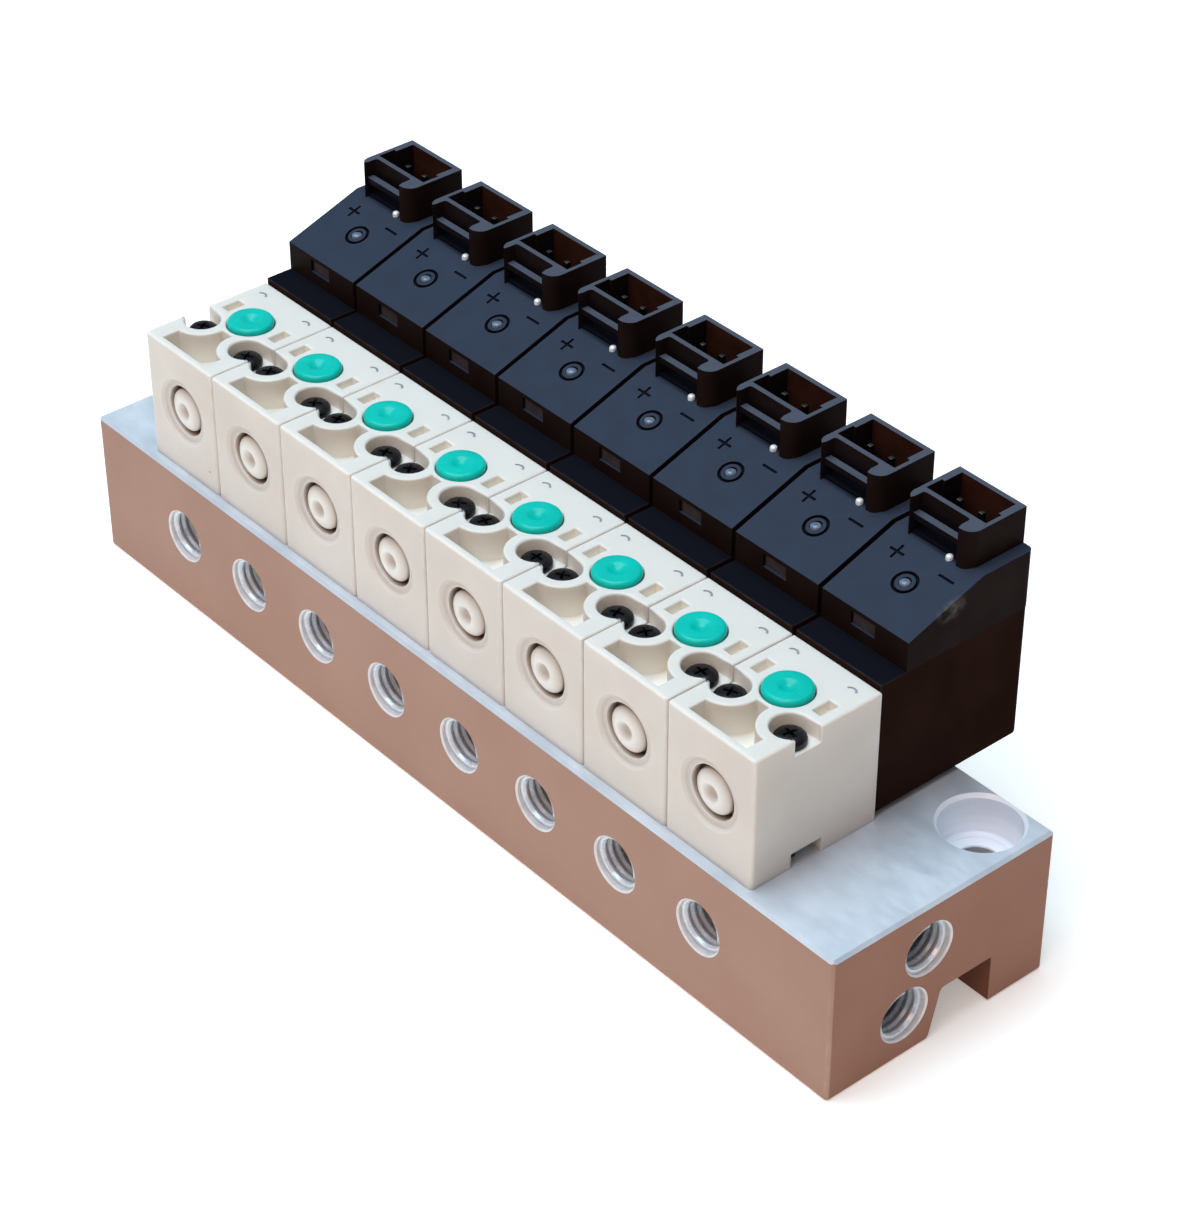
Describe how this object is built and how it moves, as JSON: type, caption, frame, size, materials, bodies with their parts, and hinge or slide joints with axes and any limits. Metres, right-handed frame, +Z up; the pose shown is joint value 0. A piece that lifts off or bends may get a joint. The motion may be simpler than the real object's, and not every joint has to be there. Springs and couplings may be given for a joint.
{
  "type": "pneumatic valve island",
  "caption": "Row of small solenoid valves on a drilled metal manifold base, with push-button overrides and plug sockets on sloping coil covers.",
  "frame": {"origin": "middle of the whole part's footprint, on the plane that the base rests on", "axes": "+X along the row, towards the end with the wider margin; -Y faces the outlet ports; +Z up"},
  "size_m": [0.103, 0.0316, 0.038],
  "materials": {
    "anodised_aluminium": "rose-brown anodised, bare milled on top",
    "body_plastic": "moulded, soft satin",
    "plug_plastic": "moulded, soft satin",
    "case_plastic": "moulded, satin",
    "cover_plastic": "moulded, fine matt",
    "button_plastic": "moulded, soft gloss",
    "screw_black": "black coated steel",
    "gasket_rubber": "matt",
    "spring_steel": "drawn wire",
    "armature_iron": "ground",
    "yoke_iron": "zinc plated",
    "bobbin_plastic": "moulded",
    "winding_wire": "enamelled copper wire",
    "board": "solder mask",
    "lens_plastic": "clear moulded",
    "pin_metal": "tinned"
  },
  "bodies": {
    "island": {"manifold_base": "anodised_aluminium", "valve_body_1": "body_plastic", "valve_body_2": "body_plastic", "valve_body_3": "body_plastic", "valve_body_4": "body_plastic", "valve_body_5": "body_plastic", "valve_body_6": "body_plastic", "valve_body_7": "body_plastic", "valve_body_8": "body_plastic", "coil_case_1": "case_plastic", "coil_case_2": "case_plastic", "coil_case_3": "case_plastic", "coil_case_4": "case_plastic", "coil_case_5": "case_plastic", "coil_case_6": "case_plastic", "coil_case_7": "case_plastic", "coil_case_8": "case_plastic", "coil_cover_1": "cover_plastic", "coil_cover_2": "cover_plastic", "coil_cover_3": "cover_plastic", "coil_cover_4": "cover_plastic", "coil_cover_5": "cover_plastic", "coil_cover_6": "cover_plastic", "coil_cover_7": "cover_plastic", "coil_cover_8": "cover_plastic", "body_screws": "screw_black", "front_plugs": "plug_plastic", "port_gaskets": "gasket_rubber", "button_springs": "spring_steel", "armature_springs": "spring_steel", "yokes": "yoke_iron", "bobbins": "bobbin_plastic", "coil_windings": "winding_wire", "pole_pieces": "yoke_iron", "circuit_boards": "board", "indicator_lenses": "lens_plastic", "contact_pins": "pin_metal"},
    "button_1": {"override_button_1": "button_plastic"},
    "button_2": {"override_button_2": "button_plastic"},
    "button_3": {"override_button_3": "button_plastic"},
    "button_4": {"override_button_4": "button_plastic"},
    "button_5": {"override_button_5": "button_plastic"},
    "button_6": {"override_button_6": "button_plastic"},
    "button_7": {"override_button_7": "button_plastic"},
    "button_8": {"override_button_8": "button_plastic"},
    "plunger_1": {"armature_1": "armature_iron"},
    "plunger_2": {"armature_2": "armature_iron"},
    "plunger_3": {"armature_3": "armature_iron"},
    "plunger_4": {"armature_4": "armature_iron"},
    "plunger_5": {"armature_5": "armature_iron"},
    "plunger_6": {"armature_6": "armature_iron"},
    "plunger_7": {"armature_7": "armature_iron"},
    "plunger_8": {"armature_8": "armature_iron"}
  },
  "joints": [
    {"name": "button_1_press", "type": "slide", "parent": "island", "child": "button_1", "axis": [0, 0, -1], "range_m": [0, 0.0008], "stiffness_N_per_m": 300, "springref_m": -0.0005, "deforming": ["button_springs"]},
    {"name": "button_2_press", "type": "slide", "parent": "island", "child": "button_2", "axis": [0, 0, -1], "range_m": [0, 0.0008], "stiffness_N_per_m": 300, "springref_m": -0.0005, "deforming": ["button_springs"]},
    {"name": "button_3_press", "type": "slide", "parent": "island", "child": "button_3", "axis": [0, 0, -1], "range_m": [0, 0.0008], "stiffness_N_per_m": 300, "springref_m": -0.0005, "deforming": ["button_springs"]},
    {"name": "button_4_press", "type": "slide", "parent": "island", "child": "button_4", "axis": [0, 0, -1], "range_m": [0, 0.0008], "stiffness_N_per_m": 300, "springref_m": -0.0005, "deforming": ["button_springs"]},
    {"name": "button_5_press", "type": "slide", "parent": "island", "child": "button_5", "axis": [0, 0, -1], "range_m": [0, 0.0008], "stiffness_N_per_m": 300, "springref_m": -0.0005, "deforming": ["button_springs"]},
    {"name": "button_6_press", "type": "slide", "parent": "island", "child": "button_6", "axis": [0, 0, -1], "range_m": [0, 0.0008], "stiffness_N_per_m": 300, "springref_m": -0.0005, "deforming": ["button_springs"]},
    {"name": "button_7_press", "type": "slide", "parent": "island", "child": "button_7", "axis": [0, 0, -1], "range_m": [0, 0.0008], "stiffness_N_per_m": 300, "springref_m": -0.0005, "deforming": ["button_springs"]},
    {"name": "button_8_press", "type": "slide", "parent": "island", "child": "button_8", "axis": [0, 0, -1], "range_m": [0, 0.0008], "stiffness_N_per_m": 300, "springref_m": -0.0005, "deforming": ["button_springs"]},
    {"name": "armature_1_stroke", "type": "slide", "parent": "island", "child": "plunger_1", "axis": [0, 1, 0], "range_m": [0, 0.0006], "stiffness_N_per_m": 300, "springref_m": -0.0005, "deforming": ["armature_springs"]},
    {"name": "armature_2_stroke", "type": "slide", "parent": "island", "child": "plunger_2", "axis": [0, 1, 0], "range_m": [0, 0.0006], "stiffness_N_per_m": 300, "springref_m": -0.0005, "deforming": ["armature_springs"]},
    {"name": "armature_3_stroke", "type": "slide", "parent": "island", "child": "plunger_3", "axis": [0, 1, 0], "range_m": [0, 0.0006], "stiffness_N_per_m": 300, "springref_m": -0.0005, "deforming": ["armature_springs"]},
    {"name": "armature_4_stroke", "type": "slide", "parent": "island", "child": "plunger_4", "axis": [0, 1, 0], "range_m": [0, 0.0006], "stiffness_N_per_m": 300, "springref_m": -0.0005, "deforming": ["armature_springs"]},
    {"name": "armature_5_stroke", "type": "slide", "parent": "island", "child": "plunger_5", "axis": [0, 1, 0], "range_m": [0, 0.0006], "stiffness_N_per_m": 300, "springref_m": -0.0005, "deforming": ["armature_springs"]},
    {"name": "armature_6_stroke", "type": "slide", "parent": "island", "child": "plunger_6", "axis": [0, 1, 0], "range_m": [0, 0.0006], "stiffness_N_per_m": 300, "springref_m": -0.0005, "deforming": ["armature_springs"]},
    {"name": "armature_7_stroke", "type": "slide", "parent": "island", "child": "plunger_7", "axis": [0, 1, 0], "range_m": [0, 0.0006], "stiffness_N_per_m": 300, "springref_m": -0.0005, "deforming": ["armature_springs"]},
    {"name": "armature_8_stroke", "type": "slide", "parent": "island", "child": "plunger_8", "axis": [0, 1, 0], "range_m": [0, 0.0006], "stiffness_N_per_m": 300, "springref_m": -0.0005, "deforming": ["armature_springs"]}
  ]
}
